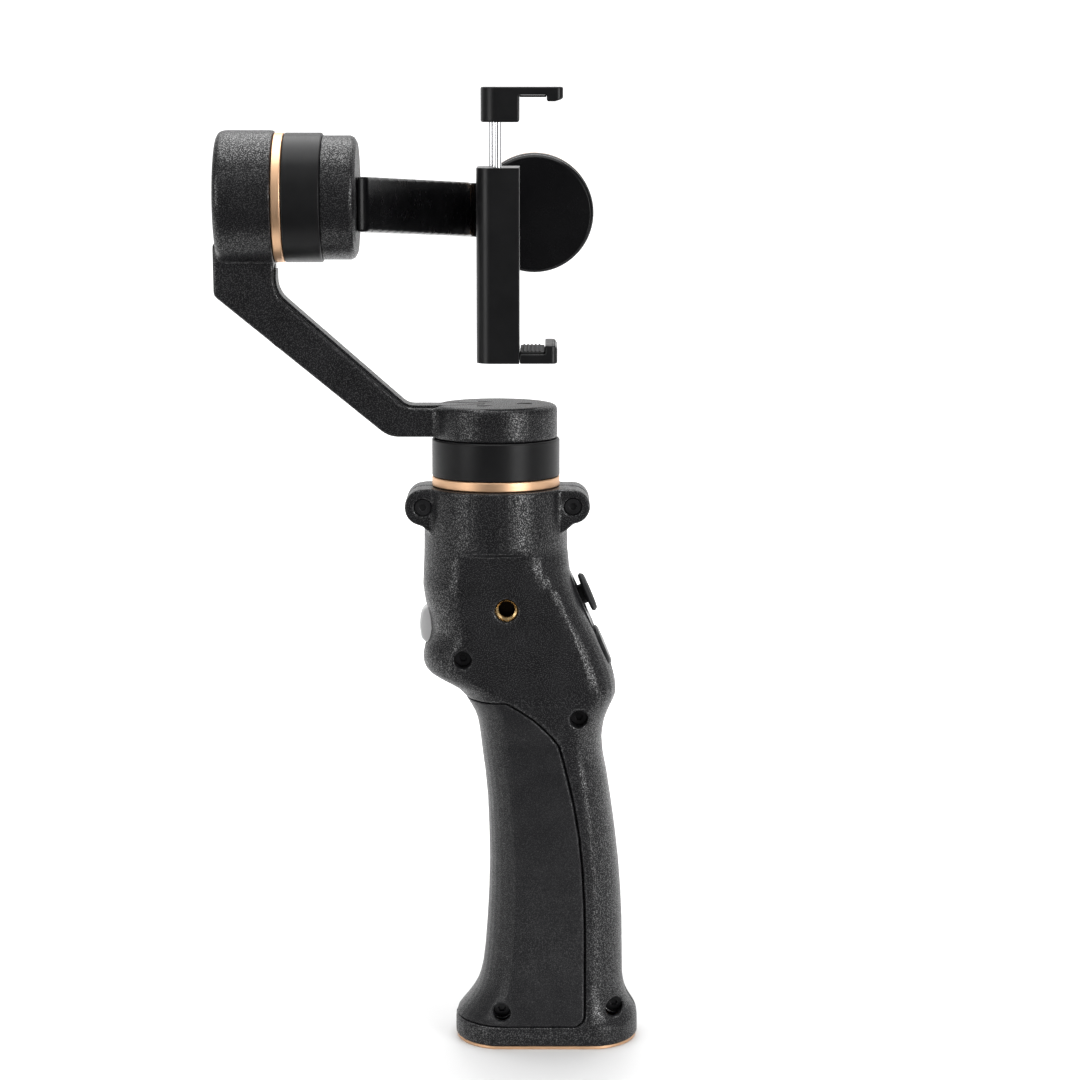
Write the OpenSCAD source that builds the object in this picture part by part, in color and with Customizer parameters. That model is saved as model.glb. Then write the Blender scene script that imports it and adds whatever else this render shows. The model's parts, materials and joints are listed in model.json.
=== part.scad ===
/* [Handle] */
// Height of the handle, from the floor to the deck the pan motor sits on
handle_h = 178; // [177:0.5:180]
// Half depth of the flat cheeks on the head of the handle
cheek_half = 19.7; // [19:0.1:20.5]
// Half depth of the grip
grip_half = 17.6; // [17.2:0.1:18.5]
// Half depth of the flared foot
foot_half = 20.5; // [20:0.1:22]
// Wall thickness of the two handle shells
wall = 3; // [2.6:0.1:3.2]
// Thickness of the grip cover
cover_t = 1.3; // [1:0.1:1.4]

/* [Motors] */
// Radius of the motor cans and trim rings
motor_r = 20.1; // [19.6:0.1:20.4]
// Thickness of the gold trim ring on each motor base
ring_h = 3.1; // [2.6:0.1:3.4]
// Height of each rotor can
can_h = 11.8; // [11.4:0.1:12.2]
// Radius of the textured hubs
hub_r = 19.4; // [19:0.1:19.5]
// Radius of the roll motor housing
roll_housing_r = 20.9; // [20.7:0.1:21.5]

/* [Arms] */
// Height of the roll axis above the floor
roll_z = 268.2; // [267:0.2:269]
// How far the tilt axis lies below the roll axis
tilt_drop = 8.2; // [7.6:0.2:8.6]
// Half width of the yaw arm
yaw_arm_half = 7; // [6.5:0.1:7.5]
// Height of the roll arm's section
roll_arm_h = 17; // [16:0.5:18]

/* [Phone clamp] */
// Gap between the two jaws at rest
jaw_gap = 77.9; // [76:0.1:79]
// Half width of the clamp body
clamp_half = 14; // [13:0.5:15]
// Radius of the two guide rods
rod_r = 1.1; // [1:0.05:1.2]

/* [Buttons] */
// Radius of the joystick cap
joystick_r = 6.5; // [6.3:0.1:6.7]
// Radius of the mode button
mode_r = 6.6; // [6.2:0.1:6.7]
// Half height of the trigger
trigger_half = 6; // [5.5:0.1:6.2]

/* [Hidden] */
$fn = 64;
gap = 0.1;
run = 0.05;
cover_gap = 0.4;
tilt_x = 12;
tilt_z = roll_z - tilt_drop;
pan_z = handle_h + gap;
pan_hub_z = pan_z + ring_h + 0.15 + can_h + gap;
pan_top_z = pan_hub_z + 10.6;
roll_base_x = -68.6;
roll_hub_x = roll_base_x + ring_h + 0.15 + can_h + gap;
roll_face_x = roll_hub_x + 10.6;
tilt_base_y = 103;
tilt_hub_y = tilt_base_y - ring_h - 0.15 - can_h - gap;
tilt_face_y = tilt_hub_y - 6.9;
shaft_r = 3;
bearing_r = 6;
tube_r = 7.4;
stator_r = 16.6;
jaw_low_z = tilt_z - 38.7;
jaw_high_z = jaw_low_z + jaw_gap;
clamp_x0 = -5.8;
clamp_x1 = 7.5;
clamp_top_z = tilt_z + 17.7;
panel_t = 2;
floor_t = 2.6;
lip_t = 0.95;
foot_z = 1;
battery_x = 18;

black = "#202022";
soft_black = "#29292b";
gold = "#cfa780";
steel = "#b8babd";
copper = "#b8693a";
board_green = "#1f5a38";

// ---- Smooth outlines through a few control points ----

// Slope of the smooth curve at point i, level where the outline turns back
function secant(p, i) = (p[i + 1][1] - p[i][1]) / (p[i + 1][0] - p[i][0]);
function slope_at(p, i) =
    i == 0 ? secant(p, 0) :
    i == len(p) - 1 ? secant(p, i - 1) :
    secant(p, i - 1) * secant(p, i) <= 0 ? 0 :
    2 * secant(p, i - 1) * secant(p, i) / (secant(p, i - 1) + secant(p, i));

// Index of the stretch of p that holds height z
function stretch(p, z, i = 0) = i >= len(p) - 2 || z < p[i + 1][0] ? i : stretch(p, z, i + 1);

function hermite(a, b, sa, sb, w, t) =
    a * (1 + 2 * t) * (1 - t) * (1 - t) + b * t * t * (3 - 2 * t)
    + sa * w * t * (1 - t) * (1 - t) - sb * w * t * t * (1 - t);

// Value of the smooth curve through the points p at height z
function curve(p, z) =
    let (
        zc = min(max(z, p[0][0]), p[len(p) - 1][0]),
        i = stretch(p, zc),
        w = p[i + 1][0] - p[i][0],
        t = (zc - p[i][0]) / w
    )
    hermite(p[i][1], p[i + 1][1], slope_at(p, i), slope_at(p, i + 1), w, t);

// Outline of the finger side: height, then distance from the pan axis
finger_side = [
    [0, -13.3], [6.5, -13.2], [8.6, -12.2], [12, -9.4], [17, -6.2], [24, -4.3],
    [38, -3], [57, -2.2], [78, -2.8], [94, -4.6], [104, -6], [110, -8.9],
    [114, -12.2], [117.5, -18.6], [120, -22.1], [123.5, -23.3], [127, -22.8], [132, -20.7],
    [136, -21], [142, -22.5], [147, -23.2], [156, -22.8], [180, -22.6]
];
// Outline of the thumb side
thumb_side = [
    [0, 45.3], [6.5, 45.2], [8.6, 44.8], [11.7, 42.9], [15, 41.3], [20, 40.4],
    [38, 40.2], [52, 39.5], [66, 38.1], [84, 35.6], [97, 33.6], [103, 34.3],
    [109, 36.4], [113.5, 38.1], [118, 37.4], [149, 24.1], [156, 22.7], [180, 22.6]
];
// Half depth of the cheeks where they are flat
flat_depth = [
    [0, foot_half], [6.5, foot_half], [8.6, foot_half - 0.7], [15, grip_half + 1], [24, grip_half],
    [92, grip_half], [108, cheek_half - 0.4], [118, cheek_half], [158.2, cheek_half],
    [158.8, 24], [180, 24]
];
// Half depth of the full round that the cheeks are cut from
full_depth = [
    [0, foot_half + 3.2], [6.5, foot_half + 3.2], [9, foot_half + 1], [24, grip_half + 2.6],
    [92, grip_half + 2.6], [116, 22.8], [146, 22.7], [156, 22.6], [180, 22.6]
];
// Squareness of the thumb side: 2 is a plain ellipse
thumb_power = [[0, 2.4], [100, 2.4], [118, 3.4], [144, 3.4], [156, 2], [180, 2]];
finger_power = [[0, 2.4], [104, 2.3], [120, 2.4], [140, 2.3], [156, 2], [180, 2]];
// Edge of the grip cover on the cheek: height, then distance from the pan axis
cover_edge = [
    [7.2, 25.6], [8.4, 27.6], [11, 28.4], [34, 28.4], [59.5, 27.4], [79, 24.7],
    [89, 22.3], [97.6, 20], [102.8, 15.6], [106.4, 11.7], [111.4, 3.6]
];
cover_z0 = 7.2;
cover_z1 = 111.4;

// Depth of the section at angle a (0 at the finger tip, 180 at the thumb tip)
function soft_min(a, b) = 0.5 * (a + b - sqrt((a - b) * (a - b) + 0.35));
function section_y(z, a, inset) =
    let (
        c = abs(cos(a)),
        n = a < 90 ? curve(finger_power, z) : curve(thumb_power, z),
        round_y = (curve(full_depth, z) - inset) * pow(max(0, 1 - pow(c, n)), 1 / n)
    )
    min(round_y, max(0, soft_min(round_y, curve(flat_depth, z) - inset)));
function mid_x(z) = (curve(finger_side, z) + curve(thumb_side, z)) / 2;
function half_x(z) = (curve(thumb_side, z) - curve(finger_side, z)) / 2;
function section_point(z, a, inset, side) =
    [mid_x(z) - (half_x(z) - inset) * cos(a), side * max(gap / 2, section_y(z, a, inset)), z];

// Angle at which the section, moved in by inset, reaches the distance x
function angle_at(z, x, inset) = acos(min(1, max(-1, (mid_x(z) - x) / (half_x(z) - inset))));

// Heights of the loft's sections
levels = [
    foot_z, 6.5, cover_z0 - 0.1, cover_z0, 8.6, 10, 12, 14.5, 17, 20, 24, 30, 38, 48, 58, 68, 78, 86, 92,
    97.6, 101, 104, 106.4, 109, cover_z1, cover_z1 + 0.1, 113, 114.5, 116, 117.5, 119, 120.5, 122,
    124, 127, 130, 133, 137, 142, 147, 152, 158.2, 158.8, 168, handle_h
];
front_steps = 13;
back_steps = 11;

function covered(z) = z >= cover_z0 && z <= cover_z1;
function outer_loop(z, side) =
    let (
        edge = curve(cover_edge, z),
        inset = covered(z) ? cover_t + cover_gap : 0,
        a0 = angle_at(z, edge - 0.1, inset),
        a1 = angle_at(z, edge + 0.1, 0)
    )
    concat(
        [for (i = [0:front_steps]) section_point(z, a0 * i / front_steps, inset, side)],
        [for (i = [0:back_steps]) section_point(z, a1 + (180 - a1) * i / back_steps, 0, side)]
    );
function inner_loop(z, side) =
    let (steps = front_steps + back_steps + 1)
    [for (i = [0:steps]) section_point(z, 180 * i / steps, wall, side)];

// Closed skin between a grid of outer rings and a grid of inner rings.
// side is -1 when the rings run from the finger tip by the near cheek, 1 by the far cheek.
module skin(outer, inner, side) {
    rows = len(outer);
    n = len(outer[0]);
    points = concat([for (r = outer) for (p = r) p], [for (r = inner) for (p = r) p]);
    in0 = rows * n;
    faces = concat(
        [for (r = [0:rows - 2]) for (i = [0:n - 2])
            each [[r * n + i, r * n + i + 1, (r + 1) * n + i + 1],
                  [r * n + i, (r + 1) * n + i + 1, (r + 1) * n + i]]],
        [for (r = [0:rows - 2]) for (i = [0:n - 2])
            each [[in0 + r * n + i, in0 + (r + 1) * n + i + 1, in0 + r * n + i + 1],
                  [in0 + r * n + i, in0 + (r + 1) * n + i, in0 + (r + 1) * n + i + 1]]],
        [for (r = [0:rows - 2]) for (i = [0, n - 1]) let (f = i == 0)
            each [f ? [r * n + i, (r + 1) * n + i, in0 + (r + 1) * n + i]
                    : [r * n + i, in0 + (r + 1) * n + i, (r + 1) * n + i],
                  f ? [r * n + i, in0 + (r + 1) * n + i, in0 + r * n + i]
                    : [r * n + i, in0 + r * n + i, in0 + (r + 1) * n + i]]],
        [for (r = [0, rows - 1]) for (i = [0:n - 2]) let (f = r == 0)
            each [f ? [r * n + i, in0 + r * n + i, r * n + i + 1]
                    : [r * n + i, r * n + i + 1, in0 + r * n + i],
                  f ? [in0 + r * n + i, in0 + r * n + i + 1, r * n + i + 1]
                    : [in0 + r * n + i, r * n + i + 1, in0 + r * n + i + 1]]]
    );
    polyhedron(points, [for (f = faces) side < 0 ? [f[2], f[1], f[0]] : f], convexity = 10);
}

module half_skin(side) {
    skin([for (z = levels) outer_loop(z, side)], [for (z = levels) inner_loop(z, side)], side);
}

// ---- Places on the handle ----

ears = [[-22.7, 172.2, 5.8], [24.2, 172.5, 5.4]];
ear_half = 11;
// Each screw: x, z, then how far its head's seat and its boss reach from the split
screws = [[-10.2, 125.3, 12.5, 16.8], [26.1, 106.5, 12, 16.3], [1.8, 11.5, 10.5, 14.1], [37.4, 12, 5.5, 9.2]];
insert_at = [3.5, 141];
insert_r = 3.2;
insert_nose_r = 3.45;
insert_recess = 0.9;
insert_len = 10;
port_at = [3.5, 122];

// Cylinder of radius r along Y, from y0 to y1
module along_y(r, y0, y1) {
    translate([0, y1, 0]) rotate([90, 0, 0]) cylinder(r = r, h = y1 - y0);
}
module at(x, z) {
    translate([x, 0, z]) children();
}

// The thumb face slopes evenly between these two heights
slope_z0 = 118;
slope_z1 = 149;
thumb_slope = (curve(thumb_side, slope_z0) - curve(thumb_side, slope_z1)) / (slope_z1 - slope_z0);
thumb_tilt = 90 - atan(thumb_slope);
// Frame on the sloping thumb face: z is outwards, y stays y, x runs down the slope
module thumb_frame(z) {
    translate([curve(thumb_side, slope_z0) - (z - slope_z0) * thumb_slope, 0, z])
        rotate([0, thumb_tilt, 0]) children();
}
panel_z = 134.4;
joystick_z = 143;
mode_z = 127;
panel_half = 17.6;
panel_half_y = 8;

module rounded_plate(half_a, half_b, r, h) {
    linear_extrude(height = h) union() {
        square([2 * (half_a - r), 2 * half_b], center = true);
        square([2 * half_a, 2 * (half_b - r)], center = true);
        for (a = [-1, 1]) for (b = [-1, 1]) translate([a * (half_a - r), b * (half_b - r)]) circle(r = r);
    }
}

// Lug beside the motor, with a web that joins it to the collar
module ear(x, z, r, side) {
    y0 = side < 0 ? -ear_half : gap / 2;
    y1 = side < 0 ? -gap / 2 : ear_half;
    at(x, z) along_y(r, y0, y1);
    xz_plate([
        [x, z + r], [0.72 * x, z + r], [0.86 * x, z - r - 3], [0.95 * x, z - r - 1.4], [x * 1.02, z - r + 0.2]
    ], y0, y1);
}

// One half of the handle: near half when side is -1
module handle_half(side) {
    difference() {
        union() {
            half_skin(side);
            intersection() {
                translate([0, 0, handle_h - 3]) cylinder(r = 21, h = 3);
                translate([-30, side < 0 ? -30 : gap / 2, handle_h - 10]) cube([60, 30 - gap / 2, 20]);
            }
            for (e = ears) ear(e[0], e[1], e[2], side);
            for (s = screws) at(s[0], s[1]) {
                if (side < 0) along_y(3.6, -s[3], -gap / 2);
                else along_y(3.6, gap / 2, s[3]);
            }
            if (side < 0) at(insert_at[0], insert_at[1]) along_y(5.6, -cheek_half + 1, -8);
        }
        translate([0, 0, handle_h - 4]) cylinder(r = 6.5, h = 5);
        for (e = ears) at(e[0], e[1]) {
            along_y(1.6, -ear_half + 3, ear_half - 2);
            along_y(2.75, -ear_half - 1, -ear_half + 3);
        }
        for (s = screws) at(s[0], s[1]) {
            along_y(1.6, -s[2] - 1, s[2]);
            along_y(2.75, -25, -s[2] - gap);
        }
        if (side < 0) at(insert_at[0], insert_at[1]) {
            along_y(insert_nose_r + gap, -25, -cheek_half + 2);
            along_y(4.6, -cheek_half + 1.5, -cheek_half + insert_len + 0.5);
        }
        if (side > 0) at(port_at[0], port_at[1]) translate([-4.6, 10, -1.8]) cube([9.2, 15, 3.6]);
        translate([-30, -4.3, 134 - trigger_half - 0.4]) cube([15, 8.6, 2 * trigger_half + 0.8]);
        thumb_frame(panel_z) translate([0, 0, -5.5])
            rounded_plate(panel_half + gap, panel_half_y + gap, 6, 12);
        mode_dish();
    }
}

module left_handle_shell() {
    color(black) handle_half(-1);
}
module right_handle_shell() {
    color(black) handle_half(1);
}

// Thin skin that wraps round the finger side of the grip, set into both shells
module grip_cover() {
    zs = [for (z = levels) if (z > cover_z0 - 0.05 && z < cover_z1 + 0.05) z];
    function wrap(z, inset) =
        let (a = angle_at(z, curve(cover_edge, z) - 0.45, inset))
        concat(
            [for (i = [-front_steps:-1]) section_point(z, -a * i / front_steps, inset, 1)],
            [for (i = [0:front_steps]) section_point(z, a * i / front_steps, inset, -1)]
        );
    color(soft_black) intersection() {
        skin([for (z = zs) wrap(z, 0)], [for (z = zs) wrap(z, cover_t)], -1);
        difference() {
            translate([-30, -30, cover_z0 + 0.1]) cube([80, 60, cover_z1 - cover_z0 - 0.2]);
            at(screws[2][0], screws[2][1]) along_y(2.75, -30, 0);
        }
    }
}

// Gold plate that closes the foot, with a lip under the shells; it follows the foot's own section
module foot_outline(inset) {
    n = 20;
    polygon(concat(
        [for (i = [0:n]) let (p = section_point(0, 180 * i / n, inset, -1)) [p[0], i == 0 || i == n ? 0 : p[1]]],
        [for (i = [1:n - 1]) let (p = section_point(0, 180 - 180 * i / n, inset, 1)) [p[0], p[1]]]
    ));
}
module base_plate() {
    color(gold) difference() {
        union() {
            linear_extrude(height = lip_t) foot_outline(0.5);
            linear_extrude(height = floor_t) foot_outline(wall + 2 * gap);
            translate([0, 0, floor_t]) linear_extrude(height = 1.4) difference() {
                foot_outline(wall + 2 * gap);
                foot_outline(wall + 1.8);
            }
        }
        for (x = [5, 31]) translate([x, 0, -1]) cylinder(r = 1.6, h = 5);
    }
}

// Shallow dish round the mode button, cut into the panel and the shells
module mode_dish() {
    depth = 1.2;
    flare = 3.3;
    thumb_frame(mode_z) translate([0, 0, -depth])
        cylinder(r1 = mode_r + 0.6, r2 = mode_r + 0.6 + 2 * flare, h = 2 * depth);
}

module handle_screws() {
    color("#151517") {
        for (s = screws) at(s[0], s[1]) button_screw(-s[2], s[2] - 1.5);
        for (e = ears) at(e[0], e[1]) button_screw(-ear_half + 2.9, ear_half - 2.5);
    }
}
// Socket screw whose head sits on the plane y = seat and whose tip reaches y = tip
module button_screw(seat, tip) {
    difference() {
        union() {
            along_y(1.5, seat - 0.1, tip);
            along_y(2.6, seat - 2.2, seat - 0.1);
        }
        translate([0, seat - 1, 0]) rotate([90, 0, 0]) cylinder(r = 1.25, h = 3, $fn = 6);
    }
}

module tripod_insert() {
    color("#c79a52") at(insert_at[0], insert_at[1]) difference() {
        union() {
            along_y(insert_nose_r, -cheek_half + insert_recess, -cheek_half + 3);
            along_y(4.5, -cheek_half + 1.6, -cheek_half + insert_len);
        }
        along_y(insert_r, -cheek_half - 1, -cheek_half + insert_len - 1.5);
    }
}

module control_panel() {
    color("#1b1b1d") difference() {
        thumb_frame(panel_z) translate([0, 0, -panel_t]) rounded_plate(panel_half, panel_half_y, 6, panel_t);
        for (hole = [[joystick_z, joystick_r - 0.1], [mode_z, mode_r + 0.15], [panel_z, 0.8]])
            thumb_frame(hole[0]) translate([0, 0, -5]) cylinder(r = hole[1], h = 10);
        mode_dish();
    }
}

// ---- Inside the handle ----

module battery_cell() {
    color("#3b5f8a") translate([battery_x, 0, 17.2]) {
        cylinder(r = 13, h = 64.5);
        cylinder(r = 4.5, h = 65.6);
    }
}
module battery_holder() {
    color("#2c2c2e") difference() {
        union() {
            translate([battery_x, 0, 14.4]) cylinder(r = 14.1, h = 1.6);
            translate([battery_x, 0, 84.2]) cylinder(r = 14.1, h = 1.6);
            difference() {
                translate([battery_x, 0, 15]) cylinder(r = 14.1, h = 70);
                translate([battery_x, 0, 14]) cylinder(r = 13.2, h = 72);
                translate([battery_x - 20, -20, 13]) cube([40, 24, 75]);
            }
        }
        for (x = [1.8, 37.4]) at(x, 12) along_y(3.8, -20, 20);
    }
}
module battery_contacts() {
    color("#c9c9c4") {
        translate([battery_x, 0, 16.1]) cylinder(r = 6, h = 0.6);
        translate([battery_x, 0, 83.2]) cylinder(r = 5, h = 0.8);
    }
}
module main_board() {
    color(board_green) {
        translate([2.5, 5, 87]) cube([17.5, 1.4, 31]);
        translate([5, 6.4, 92]) cube([9, 1.2, 9]);
        translate([6, 6.4, 106]) cube([7, 1.2, 5]);
        translate([12, 3.4, 108]) cube([6, 1.6, 6]);
    }
}
module charging_port() {
    color(steel) at(port_at[0], port_at[1]) difference() {
        translate([-4.4, 8.2, -1.6]) cube([8.8, cheek_half - 8.7, 3.2]);
        translate([-3.9, 10, -1.1]) cube([7.8, 12, 2.2]);
    }
}
module thumb_board() {
    color(board_green) thumb_frame(panel_z)
        translate([0, 0, -13.9]) rounded_plate(16.4, 7.4, 1.5, 1.4);
}
joystick_pivot = 7;
module joystick_module() {
    color("#232325") thumb_frame(joystick_z) difference() {
        translate([-7, -7.2, -12.4]) cube([14, 14.4, 7.9]);
        translate([-5.6, -5.9, -11.3]) cube([11.2, 11.8, 8]);
        translate([0, 0, -joystick_pivot]) rotate([90, 0, 0]) cylinder(r = 0.95, h = 20, center = true);
    }
}
module joystick_rocker() {
    color(steel) thumb_frame(joystick_z) translate([0, 0, -joystick_pivot]) difference() {
        union() {
            translate([-4.6, -5.2, -1.2]) cube([9.2, 10.4, 2.4]);
            rotate([90, 0, 0]) cylinder(r = 0.9, h = 14, center = true);
        }
        translate([-2.9, -2.9, -3]) cube([5.8, 5.8, 6]);
        rotate([0, 90, 0]) cylinder(r = 0.85, h = 20, center = true);
    }
}
module joystick_cap() {
    color("#1c1c1e") thumb_frame(joystick_z) {
        difference() {
            union() {
                translate([0, 0, -joystick_pivot - 2.2]) cylinder(r = 2, h = 8);
                translate([0, 0, -2.6]) cylinder(r = 3.2, h = 4.4);
                translate([0, 0, 1.6]) cylinder(r1 = joystick_r - 0.5, r2 = joystick_r, h = 0.8);
                translate([0, 0, 2.4]) cylinder(r1 = joystick_r, r2 = joystick_r - 0.7, h = 1);
            }
            translate([0, 0, 20.6]) sphere(r = 18);
        }
        translate([0, 0, -joystick_pivot]) rotate([0, 90, 0]) cylinder(r = 0.8, h = 9, center = true);
    }
}
module mode_button() {
    color("#242426") thumb_frame(mode_z) {
        translate([0, 0, -2.4]) cylinder(r = mode_r, h = 2.8);
        translate([0, 0, 0.4]) cylinder(r1 = mode_r, r2 = mode_r - 0.5, h = 0.5);
        translate([0, 0, -3.1]) cylinder(r = mode_r + 0.8, h = 0.9);
        translate([0, 0, -7.6]) cylinder(r = 1.8, h = 4.6);
    }
}
module mode_switch() {
    color("#9a9ca0") thumb_frame(mode_z) {
        translate([-3, -3, -12.4]) cube([6, 6, 3]);
        translate([0, 0, -9.5]) cylinder(r = 1.6, h = 1);
    }
}
module trigger_button() {
    color("#b9bab8") at(0, 134) {
        xz_plate(rounded([
            [-15, -trigger_half, 0], [-15, trigger_half, 0],
            [-23.6, trigger_half, 3.2], [-24.3, 0, 9], [-23.6, -trigger_half, 3.2]
        ]), -3.9, 3.9);
        translate([-16.4, -5.6, -trigger_half - 1.6]) cube([1.4, 11.2, 2 * trigger_half + 3.2]);
        translate([-15.1, -1.6, -1.6]) cube([5, 3.2, 3.2]);
    }
}
module trigger_switch() {
    color("#9a9ca0") at(0, 134) {
        translate([-7.6, -3, -3]) cube([3.4, 6, 6]);
        translate([-8.6, 0, 0]) rotate([0, 90, 0]) cylinder(r = 1.2, h = 1.1);
        translate([-4.1, -5, -6]) cube([1.4, 10, 12]);
    }
}

// ---- One motor, built along +z from the back of its base flange ----

module motor_base() {
    color(gold) difference() {
        union() {
            cylinder(r1 = motor_r - 0.3, r2 = motor_r, h = 0.3);
            translate([0, 0, 0.3]) cylinder(r = motor_r, h = ring_h - 0.6);
            translate([0, 0, ring_h - 0.3]) cylinder(r1 = motor_r, r2 = motor_r - 0.3, h = 0.3);
            cylinder(r = tube_r, h = can_h - 0.6);
        }
        translate([0, 0, 1.6]) cylinder(r = bearing_r + run, h = can_h);
        translate([0, 0, -1]) cylinder(r = 4.6, h = 4);
    }
}
module motor_stator() {
    stack = can_h - 4.4;
    color("#6a6c70") translate([0, 0, ring_h + 1]) linear_extrude(height = stack - 1.6) difference() {
        union() {
            circle(r = 8.8);
            for (i = [0:11]) rotate(30 * i) {
                translate([8, -1]) square([8, 2]);
                intersection() {
                    difference() {
                        circle(r = stator_r);
                        circle(r = stator_r - 1.3);
                    }
                    translate([12, -3.4]) square([8, 6.8]);
                }
            }
        }
        circle(r = tube_r + run);
    }
}
module motor_windings() {
    stack = can_h - 6;
    color(copper) translate([0, 0, ring_h + 1]) for (i = [0:11]) rotate([0, 0, 30 * i]) difference() {
        translate([9.6, -2.2, -0.8]) cube([5.3, 4.4, stack + 1.6]);
        translate([9, -1.1, -0.1]) cube([7, 2.2, stack + 0.2]);
    }
}
module motor_bearings() {
    color(steel) for (z = [1.75, can_h - 3.8]) translate([0, 0, z]) difference() {
        cylinder(r = bearing_r, h = 3);
        translate([0, 0, -1]) cylinder(r = shaft_r + run, h = 5);
    }
}
module motor_can() {
    color("#19191b") translate([0, 0, ring_h + 0.15]) difference() {
        union() {
            cylinder(r1 = motor_r - 0.25, r2 = motor_r, h = 0.25);
            translate([0, 0, 0.25]) cylinder(r = motor_r, h = can_h - 0.65);
            translate([0, 0, can_h - 0.4]) cylinder(r1 = motor_r, r2 = motor_r - 0.4, h = 0.4);
        }
        translate([0, 0, -1]) cylinder(r = 18.7, h = can_h - 0.8);
        cylinder(r = shaft_r + 0.02, h = can_h + 1);
    }
}
module motor_magnets() {
    color("#8c8e92") translate([0, 0, ring_h + 1.2]) difference() {
        cylinder(r = 18.65, h = can_h - 4.4);
        translate([0, 0, -1]) cylinder(r = 17.1, h = can_h);
        for (i = [0:6]) rotate([0, 0, 180 / 7 * i]) translate([-30, -0.3, -1]) cube([60, 0.6, can_h]);
    }
}
module motor_shaft() {
    color(steel) difference() {
        union() {
            translate([0, 0, 0.3]) cylinder(r = shaft_r, h = ring_h + can_h + 1.6);
            translate([0, 0, 0.3]) cylinder(r = 4.2, h = 0.9);
        }
        translate([0, 0, -1]) cylinder(r = 1.5, h = 30);
    }
}

module pan_place() {
    translate([0, 0, pan_z]) children();
}
module roll_place() {
    translate([roll_base_x, 0, roll_z]) rotate([0, 90, 0]) children();
}
module tilt_place() {
    translate([tilt_x, tilt_base_y, tilt_z]) rotate([90, 0, 0]) children();
}

module pan_motor_base() { pan_place() motor_base(); }
module pan_stator() { pan_place() motor_stator(); }
module pan_windings() { pan_place() motor_windings(); }
module pan_bearings() { pan_place() motor_bearings(); }
module pan_rotor_can() { pan_place() motor_can(); }
module pan_magnets() { pan_place() motor_magnets(); }
module pan_shaft() { pan_place() motor_shaft(); }
module roll_motor_base() { roll_place() motor_base(); }
module roll_stator() { roll_place() motor_stator(); }
module roll_windings() { roll_place() motor_windings(); }
module roll_bearings() { roll_place() motor_bearings(); }
module roll_rotor_can() { roll_place() motor_can(); }
module roll_magnets() { roll_place() motor_magnets(); }
module roll_shaft() { roll_place() motor_shaft(); }
module tilt_motor_base() { tilt_place() motor_base(); }
module tilt_stator() { tilt_place() motor_stator(); }
module tilt_windings() { tilt_place() motor_windings(); }
module tilt_bearings() { tilt_place() motor_bearings(); }
module tilt_rotor_can() { tilt_place() motor_can(); }
module tilt_magnets() { tilt_place() motor_magnets(); }
module tilt_shaft() { tilt_place() motor_shaft(); }

// ---- Outlines with rounded corners ----

// Arc that rounds the corner at b, between the directions to a and c
function unit(v) = v / norm(v);
function corner_arc(a, b, c, r) =
    let (
        u = unit(a - b),
        v = unit(c - b),
        half = acos(min(1, max(-1, u * v))) / 2,
        reach = r / tan(half),
        centre = b + unit(u + v) * r / sin(half),
        p = b + u * reach - centre,
        q = b + v * reach - centre,
        turn = p[0] * q[1] - p[1] * q[0] > 0 ? 1 : -1,
        sweep = 180 - 2 * half,
        steps = max(2, ceil(sweep / 12))
    )
    [for (i = [0:steps]) let (t = turn * sweep * i / steps)
        centre + [p[0] * cos(t) - p[1] * sin(t), p[0] * sin(t) + p[1] * cos(t)]];

// Each point is x, z and the radius of its corner
function rounded(points) =
    let (n = len(points))
    [for (i = [0:n - 1])
        let (a = points[(i + n - 1) % n], b = points[i], c = points[(i + 1) % n])
        each (b[2] == 0 ? [[b[0], b[1]]]
            : corner_arc([a[0], a[1]], [b[0], b[1]], [c[0], c[1]], b[2]))];

// Plate in the X-Z plane, from y0 to y1
module xz_plate(points, y0, y1) {
    translate([0, y1, 0]) rotate([90, 0, 0]) linear_extrude(height = y1 - y0) polygon(points);
}

// ---- Yaw arm ----

arm_low = pan_hub_z + 0.7;
arm_high = pan_top_z - 0.8;
arm_back_x = -87.8;
arm_front_x = -68.9;
arm_top_z = roll_z - 14;
root_fillet = 5;
roll_back_x = -86.6;

// Point b of the line a-b-c, moved out by d to its left
function shifted(a, b, c, d) =
    let (
        u = unit(b - a),
        v = unit(c - b),
        n = [-u[1], u[0]],
        m = [-v[1], v[0]]
    )
    b + d * (n + m) / (1 + n * m);

// Upper edge of the arm, from above the hub to the roll housing, moved out by d
edge = [[0, arm_high], [-27.8, arm_high], [arm_front_x, 239], [arm_front_x, arm_top_z]];
function edge_corner(i, d) = shifted(edge[i - 1], edge[i], edge[i + 1], -d);
function upper_edge(d, x0) = [
    [x0, arm_high + d, 0],
    [edge_corner(1, d)[0], edge_corner(1, d)[1], 6 - d],
    [edge_corner(2, d)[0], edge_corner(2, d)[1], 9 - d],
    [arm_front_x + d, arm_top_z, 0]
];
function backwards(p) = [for (i = [len(p) - 1:-1:0]) p[i]];
// Band that follows the upper edge, between the distances low and high outside it
function edge_band(low, high, x0) = rounded(concat(upper_edge(high, x0), backwards(upper_edge(low, x0))));

arm_points = concat(
    [[0, arm_low, 0], [-33.5, arm_low, 8], [-87.6, 238, 1.5], [arm_back_x, arm_top_z, 0]],
    backwards(upper_edge(0, 0))
);
strip_tip_x = -4;
strip_half = 4.6;
// Plan of the strip: straight along the arm, tapering to a point over the hub
module strip_plan(grow) {
    translate([0, 0, pan_hub_z - 10]) linear_extrude(height = 100) polygon([
        [-100, -strip_half - grow], [-15, -strip_half - grow], [strip_tip_x + grow, -0.8 - grow],
        [strip_tip_x + grow, 0.8 + grow], [-15, strip_half + grow], [-100, strip_half + grow]
    ]);
}
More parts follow.
